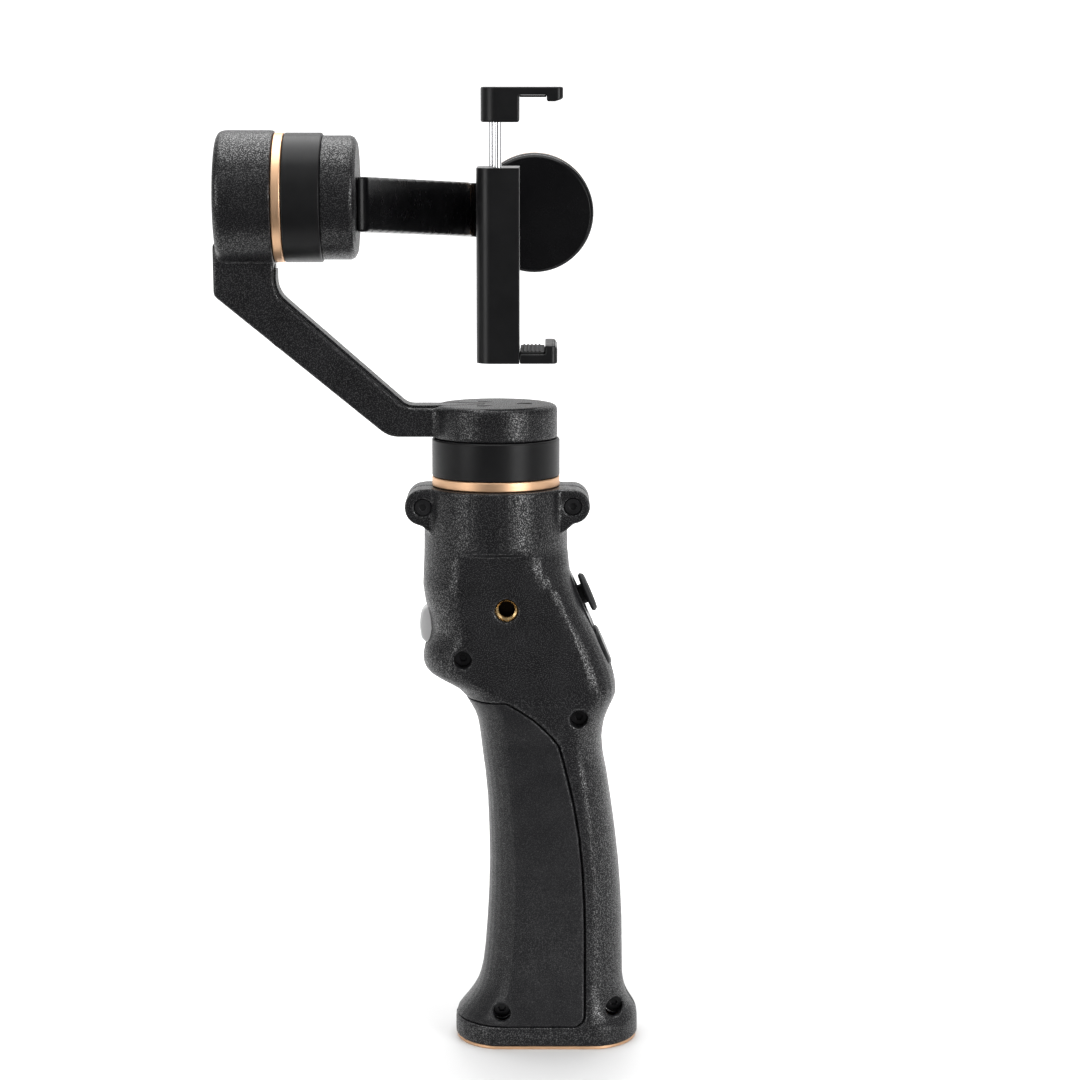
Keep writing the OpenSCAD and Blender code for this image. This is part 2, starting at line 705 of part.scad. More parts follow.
// Small bar-shaped recess in the hub's top
module tick(x, y, length) {
    translate([x - length / 2, y - 0.4, pan_top_z - 0.35]) cube([length, 0.8, 1]);
}

module yaw_arm() {
    root_x = sqrt(pow(hub_r + root_fillet, 2) - pow(yaw_arm_half + root_fillet, 2));
    color(black) difference() {
        union() {
            translate([0, 0, pan_hub_z]) cylinder(r = hub_r, h = 9.4);
            translate([0, 0, pan_hub_z + 9.4]) cylinder(r1 = hub_r, r2 = hub_r - 0.5, h = 0.8);
            translate([0, 0, pan_hub_z + 10.2]) cylinder(r1 = hub_r - 0.5, r2 = hub_r - 1.4, h = 0.4);
            xz_plate(rounded(arm_points), -yaw_arm_half, yaw_arm_half);
            translate([0, 0, arm_low]) linear_extrude(height = pan_hub_z + 9 - arm_low) difference() {
                translate([-root_x, -yaw_arm_half - 2.6]) square([8, 2 * yaw_arm_half + 5.2]);
                for (e = [-1, 1])
                    translate([-root_x, e * (yaw_arm_half + root_fillet)]) circle(r = root_fillet + 0.12);
            }
            translate([roll_back_x, 0, roll_z]) rotate([0, 90, 0]) {
                cylinder(r1 = roll_housing_r - 2.2, r2 = roll_housing_r - 0.6, h = 0.8);
                translate([0, 0, 0.8]) cylinder(r1 = roll_housing_r - 0.6, r2 = roll_housing_r, h = 1.6);
                translate([0, 0, 2.4]) cylinder(r = roll_housing_r, h = roll_base_x - gap - roll_back_x - 2.4);
            }
        }
        translate([roll_back_x + 2.4, 0, roll_z]) rotate([0, 90, 0])
            cylinder(r = roll_housing_r - 2.3, h = 30);
        translate([0, 0, pan_hub_z - 1]) cylinder(r = 15.5, h = 6.5);
        intersection() {
            xz_plate(edge_band(-1.2, 2, 0), -yaw_arm_half, yaw_arm_half);
            strip_plan(gap);
            translate([-100, -20, 150]) cube([120, 40, arm_top_z - 8 - 150]);
        }
        xz_plate(edge_band(-5, 0, -18), -2.2, 2.2);
        translate([-20, 0, arm_high - 7.4]) cylinder(r = 1.6, h = 5);
        translate([-21.6, 0, pan_hub_z + 4]) rotate([0, 90, 0]) cylinder(r = 1.6, h = 12);
        for (e = [-1, 1]) tick(-3.6, e * 5.4, 4.8);
        for (e = [-1, 1]) tick(-4.4, e * 7.2, 3.2);
        tick(9, 0, 5.2);
        tick(9, 2, 3);
    }
}
module yaw_arm_cover() {
    color(soft_black) intersection() {
        xz_plate(edge_band(-1.1, 0.7, 0), -yaw_arm_half, yaw_arm_half);
        strip_plan(0);
        translate([-100, -20, 150]) cube([120, 40, arm_top_z - 8.1 - 150]);
    }
}
module yaw_arm_cable() {
    color("#111113") intersection() {
        xz_plate(edge_band(-4.4, -2.6, -24), -1.3, 1.3);
        translate([-100, -20, 150]) cube([120, 40, arm_top_z - 4 - 150]);
    }
}
module motor_board() {
    color(board_green) {
        difference() {
            cylinder(r = 16.5, h = 1.4);
            translate([0, 0, -1]) cylinder(r = 3.6, h = 4);
        }
        translate([6, -3, 1.4]) cube([6, 6, 1]);
        translate([-11, -2.5, 1.4]) cube([4, 5, 1]);
    }
}
module roll_motor_board() {
    translate([roll_base_x - 7, 0, roll_z]) rotate([0, 90, 0]) motor_board();
}

// ---- Roll arm ----

module roll_hub() {
    color(black) translate([roll_hub_x, 0, roll_z]) rotate([0, 90, 0]) difference() {
        union() {
            cylinder(r = hub_r - 0.15, h = 8.6);
            translate([0, 0, 8.6]) cylinder(r1 = hub_r - 0.15, r2 = hub_r - 0.75, h = 1.2);
            translate([0, 0, 9.8]) cylinder(r1 = hub_r - 0.75, r2 = hub_r - 2.2, h = 0.8);
        }
        translate([0, 0, -1]) cylinder(r = 15, h = 6.4);
        for (a = [0:90:270]) rotate([0, 0, 45 + a]) translate([6, 0, 0]) cylinder(r = 1.1, h = 30);
    }
}

// The bar leaves the roll hub's face, runs back beside the clamp and turns into the tilt housing
bar_t = 5.2;
bar_root = 8.5;
bar_x0 = roll_face_x + gap;
bar_near_x = tilt_x - motor_r - 1.5;
bar_end_x = tilt_x - 15;
bar_turn_y = tilt_base_y - 14;
bar_back_y = tilt_base_y + gap + 7.2;
bar_z0 = roll_z - 1.7;
bar_outline = rounded([
    [bar_x0, -bar_root, 0], [bar_x0 + 3, -bar_root, 4], [bar_near_x, bar_turn_y, 30],
    [bar_near_x, tilt_base_y + gap, 0], [bar_end_x, tilt_base_y + gap, 0], [bar_end_x, bar_back_y, 0],
    [bar_near_x - bar_t, bar_back_y, 8], [bar_near_x - bar_t, bar_turn_y - 2, 40], [bar_x0, bar_root, 0]
]);
// Side view of the bar: y and z, drooping from the roll axis to the tilt axis
bar_side = [
    [-bar_root - 1, bar_z0 - roll_arm_h / 2], [bar_back_y + 1, tilt_z - roll_arm_h / 2 - 0.8],
    [bar_back_y + 1, tilt_z + roll_arm_h / 2 + 0.8], [-bar_root - 1, bar_z0 + roll_arm_h / 2]
];
// Plate that the bar ends in, flared with fillets onto the round housing
module housing_plate() {
    flare = 5;
    half = roll_arm_h / 2 + 0.8;
    reach = sqrt(pow(hub_r + flare, 2) - pow(half + flare, 2));
    circle(r = hub_r);
    difference() {
        translate([-reach, -half - 3.4]) square([reach / 2, 2 * half + 6.8]);
        for (e = [-1, 1]) translate([-reach, e * (half + flare)]) circle(r = flare + 0.1);
    }
}

module roll_arm_bar() {
    color("#161617") difference() {
        union() {
            intersection() {
                translate([0, 0, tilt_z - 40]) linear_extrude(height = 80) polygon(bar_outline);
                translate([-60, 0, 0]) rotate([90, 0, 90]) linear_extrude(height = 80) polygon(bar_side);
            }
            translate([tilt_x, tilt_base_y + gap + 7.2, tilt_z]) rotate([90, 0, 0])
                linear_extrude(height = 7.2) housing_plate();
        }
        translate([tilt_x, tilt_base_y - 1, tilt_z]) rotate([-90, 0, 0]) cylinder(r = hub_r - 2.2, h = 20);
        translate([tilt_x, tilt_base_y - 30, tilt_z]) rotate([-90, 0, 0]) cylinder(r = motor_r + 1, h = 30 + gap);
        translate([tilt_x, tilt_base_y + gap + 7.2, tilt_z]) rotate([-90, 0, 0]) cylinder(r = hub_r + 0.15, h = 9);
        for (a = [0:90:270]) translate([roll_face_x - 1, 0, roll_z]) rotate([45 + a, 0, 0])
            translate([0, 0, 6]) rotate([0, 90, 0]) cylinder(r = 1.1, h = 3.2);
    }
}
module tilt_housing_cap() {
    color("#161617") translate([tilt_x, tilt_base_y + gap + 7.3, tilt_z]) rotate([-90, 0, 0]) {
        cylinder(r = hub_r, h = 0.8);
        translate([0, 0, 0.8]) cylinder(r1 = hub_r, r2 = hub_r - 1.2, h = 1.2);
    }
}
module tilt_motor_board() {
    translate([tilt_x, tilt_base_y + 3.2, tilt_z]) rotate([-90, 0, 0]) motor_board();
}

// ---- Phone clamp ----

module tilt_hub() {
    color("#121213") translate([tilt_x, tilt_hub_y, tilt_z]) rotate([90, 0, 0]) difference() {
        union() {
            cylinder(r = hub_r + 0.4, h = 6.1);
            translate([0, 0, 6.1]) cylinder(r1 = hub_r + 0.4, r2 = hub_r - 0.5, h = 0.8);
        }
        translate([0, 0, -1]) cylinder(r = 5, h = 3.6);
    }
}
bar_z_half = 9;
module clamp_bar() {
    color("#1a1a1b") difference() {
        translate([clamp_x0 + 1, clamp_half + gap, tilt_z - bar_z_half])
            cube([8, tilt_face_y - clamp_half - 2 * gap, 2 * bar_z_half]);
        translate([clamp_x0 + 3, clamp_half + 12, tilt_z - 5]) cube([10, 40, 10]);
    }
}

rod_x = [0.9, -1];
rod_y = 8;
clamp_round = 5;
tip_round = 2;

// Plan of the clamp between x0 and x1, with upright corners of radius r0 at x0 and r1 at x1
module clamp_plan(x0, x1, r0, r1) {
    translate([x0 + r0, -clamp_half]) square([x1 - r1 - x0 - r0, 2 * clamp_half]);
    if (r0 > 0) {
        translate([x0, r0 - clamp_half]) square([2 * r0, 2 * (clamp_half - r0)]);
        for (e = [-1, 1]) translate([x0 + r0, e * (clamp_half - r0)]) circle(r = r0);
    }
    if (r1 > 0) {
        translate([x1 - 2 * r1, r1 - clamp_half]) square([2 * r1, 2 * (clamp_half - r1)]);
        for (e = [-1, 1]) translate([x1 - r1, e * (clamp_half - r1)]) circle(r = r1);
    }
}
spring_r = 2.5;
clamp_floor_z = jaw_low_z + 1;
module clamp_body() {
    color("#1c1c1d") difference() {
        translate([0, 0, jaw_low_z - 3.8]) linear_extrude(height = clamp_top_z - jaw_low_z + 3.8)
            clamp_plan(clamp_x0, clamp_x1, clamp_round, 0);
        translate([clamp_x0 + 1.7, -clamp_half + 1.7, clamp_floor_z])
            cube([clamp_x1 - clamp_x0 - 3.4, 2 * clamp_half - 3.4, clamp_top_z - clamp_floor_z - 2.6]);
        for (i = [0, 1]) translate([rod_x[i], (2 * i - 1) * rod_y, clamp_top_z - 6])
            cylinder(r = rod_r + run, h = 10);
    }
}
module lower_jaw() {
    tip_x = clamp_x1 + 11.8;
    color("#1c1c1d") intersection() {
        xz_plate([
            [clamp_x1 + gap, jaw_low_z - 3.8], [tip_x, jaw_low_z - 3.8], [tip_x, jaw_low_z + 1.1],
            [tip_x - 1, jaw_low_z + 1.9], [clamp_x1 + 8, jaw_low_z + 1.9], [clamp_x1 + 8, jaw_low_z - 0.8],
            [clamp_x1 + gap, jaw_low_z - 0.8]
        ], -clamp_half, clamp_half);
        translate([0, 0, jaw_low_z - 10]) linear_extrude(height = 20)
            clamp_plan(clamp_x1 + gap, tip_x, 0, tip_round);
    }
}
module lower_jaw_pad() {
    color("#0f0f10") {
        translate([clamp_x1 + 0.3, -clamp_half + 1, jaw_low_z - 0.7]) cube([7.5, 2 * clamp_half - 2, 0.7]);
        for (i = [-2:2]) translate([clamp_x1 + 2 + 1.2 * i + 1.6, -clamp_half + 1, jaw_low_z - 0.1])
            cube([0.5, 2 * clamp_half - 2, 0.4]);
    }
}
rod_bottom_z = jaw_low_z + 16.5;
spring_low_z = rod_bottom_z + 1.4;
spring_high_z = clamp_top_z - 2.8;
spring_turns = 9;
coil_steps = 10;
wire_r = 0.35;
// Coil spring round a guide rod: a round wire swept along a helix
module coil_spring(height) {
    n = spring_turns * coil_steps;
    sides = 5;
    mean_r = spring_r - wire_r;
    points = [for (i = [0:n]) for (j = [0:sides - 1])
        let (
            a = 360 * i / coil_steps,
            b = 360 * j / sides,
            r = mean_r + wire_r * cos(b)
        )
        [r * cos(a), r * sin(a), wire_r + (height - 2 * wire_r) * i / n + wire_r * sin(b)]];
    faces = concat(
        [for (i = [0:n - 1]) for (j = [0:sides - 1]) let (k = (j + 1) % sides)
            each [[i * sides + j, (i + 1) * sides + k, i * sides + k],
                  [i * sides + j, (i + 1) * sides + j, (i + 1) * sides + k]]],
        [[for (j = [0:sides - 1]) j]],
        [[for (j = [sides - 1:-1:0]) n * sides + j]]
    );
    polyhedron(points, faces, convexity = 10);
}
module clamp_springs() {
    color(steel) for (i = [0, 1]) translate([rod_x[i], (2 * i - 1) * rod_y, spring_low_z])
        coil_spring(spring_high_z - spring_low_z);
}
module imu_board() {
    color(board_green) {
        translate([clamp_x0 + 2.2, -4.4, clamp_floor_z + 3]) cube([1.2, 8.8, 12]);
        translate([clamp_x0 + 3.4, -1.5, clamp_floor_z + 7]) cube([0.9, 3, 3]);
    }
}
jaw_block_z = jaw_high_z - 7.6;
jaw_top_z = jaw_high_z + 3.2;
module upper_jaw() {
    block_x = -4.4;
    lip_x = 16;
    tip_x = 21;
    color("#1c1c1d") difference() {
        intersection() {
            xz_plate([
                [block_x, jaw_block_z], [clamp_x1, jaw_block_z], [clamp_x1, jaw_high_z + 0.7],
                [lip_x, jaw_high_z + 0.7], [lip_x, jaw_high_z - 1.3], [tip_x - 2.4, jaw_high_z - 1.3],
                [tip_x, jaw_high_z - 0.5], [tip_x, jaw_top_z], [block_x, jaw_top_z]
            ], -clamp_half, clamp_half);
            translate([0, 0, jaw_block_z - 1]) linear_extrude(height = 20)
                clamp_plan(block_x, tip_x, clamp_round, tip_round);
        }
        for (i = [0, 1]) translate([rod_x[i], (2 * i - 1) * rod_y, jaw_block_z - 1])
            cylinder(r = rod_r + 0.02, h = 7);
    }
}
module upper_jaw_pad() {
    color("#0f0f10") {
        translate([clamp_x1 + 0.2, -clamp_half + 1, jaw_high_z]) cube([8.1, 2 * clamp_half - 2, 0.6]);
    }
}
module guide_rods() {
    color("#dcdee0") for (i = [0, 1]) translate([rod_x[i], (2 * i - 1) * rod_y, rod_bottom_z]) {
        cylinder(r = rod_r, h = jaw_block_z + 5.8 - rod_bottom_z);
        cylinder(r = 2.4, h = 1.2);
    }
}

left_handle_shell();
right_handle_shell();
grip_cover();
base_plate();
handle_screws();
tripod_insert();
control_panel();
battery_cell();
battery_holder();
battery_contacts();
main_board();
charging_port();
thumb_board();
joystick_module();
mode_switch();
trigger_switch();
trigger_button();
mode_button();
joystick_rocker();
joystick_cap();
pan_motor_base();
pan_stator();
pan_windings();
pan_bearings();
pan_rotor_can();
pan_magnets();
pan_shaft();
yaw_arm();
yaw_arm_cover();
yaw_arm_cable();
roll_motor_board();
roll_motor_base();
roll_stator();
roll_windings();
roll_bearings();
roll_rotor_can();
roll_magnets();
roll_shaft();
roll_hub();
roll_arm_bar();
tilt_housing_cap();
tilt_motor_board();
tilt_motor_base();
tilt_stator();
tilt_windings();
tilt_bearings();
tilt_rotor_can();
tilt_magnets();
tilt_shaft();
tilt_hub();
clamp_bar();
clamp_body();
lower_jaw();
lower_jaw_pad();
clamp_springs();
imu_board();
upper_jaw();
upper_jaw_pad();
guide_rods();
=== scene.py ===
"""Looks of the handheld phone gimbal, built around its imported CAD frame."""

import json
import math

import bpy
import numpy as np
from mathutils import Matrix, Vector


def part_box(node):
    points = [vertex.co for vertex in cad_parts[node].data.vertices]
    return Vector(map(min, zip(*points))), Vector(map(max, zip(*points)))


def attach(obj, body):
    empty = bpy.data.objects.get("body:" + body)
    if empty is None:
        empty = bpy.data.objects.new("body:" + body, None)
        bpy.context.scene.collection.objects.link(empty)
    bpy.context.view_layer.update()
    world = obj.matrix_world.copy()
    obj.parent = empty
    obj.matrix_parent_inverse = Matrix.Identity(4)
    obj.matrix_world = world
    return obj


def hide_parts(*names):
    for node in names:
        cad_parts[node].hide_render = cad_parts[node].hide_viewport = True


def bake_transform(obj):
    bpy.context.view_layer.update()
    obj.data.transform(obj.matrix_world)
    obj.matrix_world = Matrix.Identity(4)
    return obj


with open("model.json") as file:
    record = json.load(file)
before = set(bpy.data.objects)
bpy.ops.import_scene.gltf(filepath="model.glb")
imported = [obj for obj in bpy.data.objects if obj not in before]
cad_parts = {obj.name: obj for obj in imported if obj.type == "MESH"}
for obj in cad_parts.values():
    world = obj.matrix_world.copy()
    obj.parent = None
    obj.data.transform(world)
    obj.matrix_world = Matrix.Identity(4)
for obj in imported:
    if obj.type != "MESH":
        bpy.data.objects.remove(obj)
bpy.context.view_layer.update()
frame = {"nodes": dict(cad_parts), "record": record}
nodes = frame["nodes"]
MM = 0.001
WELD_GAP = 0.002 * MM

# ---- Materials ----


class Surface:
    """A procedural material, built up from noises in the object's own coordinates."""

    def __init__(self, name, metallic=0.0, specular=0.5):
        self.material = bpy.data.materials.new(name)
        self.material.use_nodes = True
        self.tree = self.material.node_tree
        self.shader = self.tree.nodes["Principled BSDF"]
        self.shader.inputs["Metallic"].default_value = metallic
        self.shader.inputs["Specular IOR Level"].default_value = specular
        self.place = self.add("ShaderNodeTexCoord").outputs["Object"]
        self.heights = []

    def add(self, kind, **values):
        node = self.tree.nodes.new(kind)
        for key, value in values.items():
            setattr(node, key, value)
        return node

    def link(self, source, target):
        self.tree.links.new(source, target)

    def stretched(self, factors):
        """Coordinates scaled by a factor per axis."""
        node = self.add("ShaderNodeMapping")
        node.inputs["Scale"].default_value = factors
        self.link(self.place, node.inputs["Vector"])
        return node.outputs["Vector"]

    def noise(self, size, detail=2.0, vector=None):
        """Soft noise whose blobs are about size metres wide, around 0.5."""
        node = self.add("ShaderNodeTexNoise")
        node.inputs["Scale"].default_value = 1.0 / size
        node.inputs["Detail"].default_value = detail
        self.link(vector or self.place, node.inputs["Vector"])
        return node.outputs["Fac"]

    def grains(self, size):
        """Distance from the middle of packed grains about size metres wide."""
        node = self.add("ShaderNodeTexVoronoi")
        node.inputs["Scale"].default_value = 1.0 / size
        self.link(self.place, node.inputs["Vector"])
        return node.outputs["Distance"]

    def span(self, value, low, high, to_low, to_high):
        """Maps low..high of a value onto to_low..to_high, clamped."""
        node = self.add("ShaderNodeMapRange")
        node.inputs["From Min"].default_value = low
        node.inputs["From Max"].default_value = high
        node.inputs["To Min"].default_value = to_low
        node.inputs["To Max"].default_value = to_high
        self.link(value, node.inputs["Value"])
        return node.outputs["Result"]

    def blend(self, factor, first, second):
        """Colour between first and second. Each is a colour or a socket."""
        node = self.add("ShaderNodeMix", data_type="RGBA")
        self.link(factor, node.inputs["Factor"])
        for socket, colour in (("A", first), ("B", second)):
            target = [i for i in node.inputs if i.name == socket and i.type == "RGBA"][0]
            if isinstance(colour, tuple):
                target.default_value = colour + (1.0,)
            else:
                self.link(colour, target)
        return [o for o in node.outputs if o.type == "RGBA"][0]

    def colour(self, socket):
        self.link(socket, self.shader.inputs["Base Color"])

    def roughness(self, socket):
        self.link(socket, self.shader.inputs["Roughness"])

    def specular(self, socket):
        self.link(socket, self.shader.inputs["Specular IOR Level"])

    def relief(self, height, depth):
        """Adds a bump of depth metres on top of those already there."""
        node = self.add("ShaderNodeBump")
        node.inputs["Strength"].default_value = 1.0
        node.inputs["Distance"].default_value = depth
        self.link(height, node.inputs["Height"])
        if self.heights:
            self.link(self.heights[-1], node.inputs["Normal"])
        self.heights.append(node.outputs["Normal"])
        self.link(node.outputs["Normal"], self.shader.inputs["Normal"])


def sand_coat(name, dark, light, grain, depth, glints):
    """Moulded sand texture: uneven fine grains, some of which catch the light."""
    s = Surface(name)
    cloud = s.noise(9 * MM, 3)
    fine = s.noise(grain, 3)
    facets = s.noise(0.7 * grain, 1)
    s.colour(s.blend(s.span(cloud, 0.35, 0.65, 0, 1), dark, light))
    s.specular(s.span(facets, 0.50, 0.68, 0.10, glints))
    s.roughness(s.span(facets, 0.40, 0.70, 0.44, 0.28))
    s.relief(s.grains(1.4 * grain), 0.5 * depth)
    s.relief(fine, depth)
    return s.material


def moulded(name, dark, light, rough, specular=0.5, depth=0.004 * MM, grain=0.5 * MM):
    """Smooth moulded or coated surface with a fine grain and faint clouding."""
    s = Surface(name, specular=specular)
    cloud = s.noise(12 * MM, 4)
    s.colour(s.blend(s.span(cloud, 0.35, 0.65, 0, 1), dark, light))
    s.roughness(s.span(s.noise(4 * MM, 4), 0.3, 0.7, rough - 0.04, rough + 0.05))
    s.relief(s.noise(grain, 2), depth)
    return s.material


def turned(name, dark, light, rough, axis, metallic=1.0, specular=0.5):
    """Metal turned on a lathe about an axis: fine rings and a faint tint change."""
    s = Surface(name, metallic=metallic, specular=specular)
    factors = [0.06, 0.06, 0.06]
    factors[axis] = 1.0
    rings = s.noise(0.16 * MM, 2, s.stretched(factors))
    s.colour(s.blend(s.span(s.noise(14 * MM, 3), 0.35, 0.65, 0, 1), dark, light))
    s.roughness(s.span(rings, 0.3, 0.7, rough - 0.04, rough + 0.06))
    s.relief(rings, 0.0015 * MM)
    return s.material


def bored_brass(name, mouth_y):
    """Bright brass at the mouth of the bore, with painted shade that darkens it further in."""
    s = Surface(name, metallic=1.0)
    split = s.add("ShaderNodeSeparateXYZ")
    s.link(s.place, split.inputs["Vector"])
    # Painted shade: the brass colour fades to near black from 1.2 mm to 3.6 mm past the mouth of the bore
    depth = s.span(split.outputs["Y"], mouth_y + 1.2 * MM, mouth_y + 3.6 * MM, 0, 1)
    s.colour(s.blend(depth, (0.78, 0.56, 0.28), (0.012, 0.009, 0.006)))
    s.roughness(s.span(s.noise(0.6 * MM, 3), 0.3, 0.7, 0.16, 0.30))
    s.relief(s.noise(0.3 * MM, 2), 0.004 * MM)
    return s.material


X, Y, Z = 0, 1, 2
AXIS_OF = {"pan": Z, "roll": X, "tilt": Y}
BLACK = (0.0075, 0.0075, 0.0082)
SOOT = (0.0115, 0.0115, 0.0125)

looks = {
    "textured_black": sand_coat("sand_black", BLACK, SOOT, 0.46 * MM, 0.036 * MM, 1.35),
    "grip_black": sand_coat(
        "grip_grain", (0.011, 0.011, 0.012), (0.016, 0.016, 0.017), 0.36 * MM, 0.04 * MM, 0.7),
    "black_screw": turned("black_oxide", (0.012, 0.012, 0.013), (0.03, 0.03, 0.032), 0.34, Y, 0.6),
    "brass_insert": turned("turned_brass", (0.72, 0.48, 0.20), (0.80, 0.56, 0.27), 0.24, Y),
    "smooth_black": moulded("satin_moulded", (0.006, 0.006, 0.007), (0.010, 0.010, 0.011), 0.34, 0.3),
    "cell_wrap": moulded("shrink_wrap", (0.04, 0.11, 0.27), (0.07, 0.16, 0.34), 0.32),
    "spring_steel": turned("spring_steel", (0.55, 0.55, 0.56), (0.66, 0.66, 0.67), 0.25, Z),
    "circuit_board": moulded("solder_mask", (0.012, 0.11, 0.045), (0.025, 0.16, 0.07), 0.36),
    "grey_key": moulded("grey_key", (0.64, 0.64, 0.645), (0.70, 0.70, 0.70), 0.42),
    "rubber_black": moulded(
        "soft_rubber", (0.008, 0.008, 0.009), (0.014, 0.014, 0.014), 0.62, 0.3, 0.012 * MM),
    "gloss_black": moulded(
        "gloss_black", (0.0025, 0.0025, 0.003), (0.004, 0.004, 0.0045), 0.24, 0.14, 0.006 * MM, 3 * MM),
    "satin_black": moulded("satin_black", (0.004, 0.004, 0.0045), (0.006, 0.006, 0.0065), 0.32, 0.24),
    "chrome_rod": turned("polished_rod", (0.78, 0.78, 0.80), (0.86, 0.86, 0.88), 0.10, Z),
    "motor_iron": turned("laminated_iron", (0.15, 0.15, 0.16), (0.24, 0.24, 0.25), 0.42, Z),
    "copper_wire": moulded("enamelled_copper", (0.42, 0.15, 0.05), (0.62, 0.26, 0.10), 0.28),
}
for motor, axis in AXIS_OF.items():
    looks["gold_anodised_" + motor] = turned(
        "gold_anodised_" + motor, (0.72, 0.45, 0.27), (0.78, 0.50, 0.31), 0.42, axis)
    looks["anodised_black_" + motor] = turned(
        "anodised_can_" + motor, (0.006, 0.006, 0.0065), (0.009, 0.009, 0.0095), 0.36, axis, 0.0, 0.16)
looks["gold_anodised"] = looks["gold_anodised_pan"]
# Brass for the tripod insert, with painted shade darkening its bore
looks["bored_brass"] = bored_brass("bored_brass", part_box("tripod_insert")[0].y)
slots = {row["node"]: row["material_slot"] for row in frame["record"]["subparts"]}


def dress(piece, look):
    """Gives a piece a look as its only material."""
    piece.data.materials.clear()
    piece.data.materials.append(looks[look])


for node_name, node in nodes.items():
    by_axis = slots[node_name] + "_" + node_name.split("_")[0]
    dress(node, by_axis if by_axis in looks else slots[node_name])
dress(nodes["tripod_insert"], "bored_brass")

# ---- Shapes ----


def crisp(name, width, segments):
    """Small machined edge breaks on a CAD node."""
    node = nodes[name]
    mesh = node.data
    if "custom_normal" in mesh.attributes:
        mesh.attributes.remove(mesh.attributes["custom_normal"])
    for polygon in mesh.polygons:
        polygon.use_smooth = True
    weld = node.modifiers.new("join_faces", "WELD")
    weld.merge_threshold = WELD_GAP
    flat = node.modifiers.new("merge_flats", "DECIMATE")
    flat.decimate_type = "DISSOLVE"
    flat.angle_limit = math.radians(0.6)
    if width:
        bevel = node.modifiers.new("edge_break", "BEVEL")
        bevel.width = width
        bevel.segments = segments
        bevel.limit_method = "ANGLE"
        bevel.angle_limit = math.radians(28)
        bevel.use_clamp_overlap = False
        bevel.miter_outer = "MITER_ARC"
    normals = node.modifiers.new("flat_shading", "WEIGHTED_NORMAL")
    normals.keep_sharp = True
    normals.weight = 60


def adjacency(mesh):
    pairs = np.empty(len(mesh.edges) * 2, np.int64)
    mesh.edges.foreach_get("vertices", pairs)
    pairs = pairs.reshape(-1, 2)
    return pairs[:, 0], pairs[:, 1]


def relax(mesh, steps, weight):
    """Moves each vertex towards its neighbours' middle. weight(co) gives 0..1 per vertex."""
    count = len(mesh.vertices)
    co = np.empty(count * 3, np.float32)
    mesh.vertices.foreach_get("co", co)
    co = co.reshape(-1, 3).astype(float)
    a, b = adjacency(mesh)
    degree = np.bincount(a, minlength=count) + np.bincount(b, minlength=count)
    share = 0.5 * weight(co)[:, None] / np.maximum(degree, 1)[:, None]
    for _ in range(steps):
        total = np.stack([
            np.bincount(a, co[b, k], count) + np.bincount(b, co[a, k], count) for k in range(3)
        ], 1)
        co += share * (total - degree[:, None] * co)
    mesh.vertices.foreach_set("co", co.astype(np.float32).ravel())
    mesh.update()


def stand_in(node_name, piece_name):
    """A welded copy of a CAD node's mesh, which is shown in its place."""
    source = nodes[node_name]
    piece = source.copy()
    piece.data = source.data.copy()
    piece.name = piece_name
    for key in [k for k in piece.keys() if k.startswith("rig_")]:
        del piece[key]
    piece.parent = None
    bpy.context.scene.collection.objects.link(piece)
    weld = piece.modifiers.new("join", "WELD")
    weld.merge_threshold = WELD_GAP
    dress(piece, slots[node_name])
    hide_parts(node_name)
    return piece


def moulding(node_name, piece_name, body, voxel, steps, weight=None):
    """A finely remeshed copy of a CAD node with soft moulded edges, which stands for it."""
    piece = stand_in(node_name, piece_name)
    remesh = piece.modifiers.new("voxels", "REMESH")
    remesh.mode = "VOXEL"
    remesh.voxel_size = voxel
    remesh.use_smooth_shade = True
    bake(piece)
    relax(piece.data, steps, weight or (lambda co: np.ones(len(co))))
    for polygon in piece.data.polygons:
        polygon.use_smooth = True
    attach(piece, body)


def bake(piece):
    """Turns a piece's modifiers into its mesh."""
    depsgraph = bpy.context.evaluated_depsgraph_get()
    depsgraph.update()
    mesh = bpy.data.meshes.new_from_object(piece.evaluated_get(depsgraph))
    piece.modifiers.clear()
    piece.data = mesh


def away_from_motors(co):
    """Full softening, except at the two faces that meet the motors, which stay crisp."""
    hub_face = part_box("pan_rotor_can")[1].z
    housing_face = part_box("roll_motor_base")[0].x
    gap = np.minimum(np.abs(co[:, 2] - hub_face), np.abs(co[:, 0] - housing_face))
    return np.clip(gap / (1.4 * MM), 0.1, 1.0)


moulding("left_handle_shell", "left_handle", "handle", 0.5 * MM, 6)
moulding("right_handle_shell", "right_handle", "handle", 0.5 * MM, 6)
moulding("grip_cover", "grip_sleeve", "handle", 0.4 * MM, 3)
moulding("yaw_arm", "yaw_arm_casting", "yaw_frame", 0.4 * MM, 16, away_from_motors)
moulding("roll_arm_bar", "roll_arm_casting", "roll_frame", 0.4 * MM, 8)
moulding("trigger_button", "trigger_key", "trigger", 0.25 * MM, 16)


def coil_springs():
    """The clamp's springs, shown by a welded, smooth-shaded copy of their CAD mesh."""
    piece = stand_in("clamp_springs", "coil_springs")
    bake(piece)
    for polygon in piece.data.polygons:
        polygon.use_smooth = True
    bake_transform(piece)


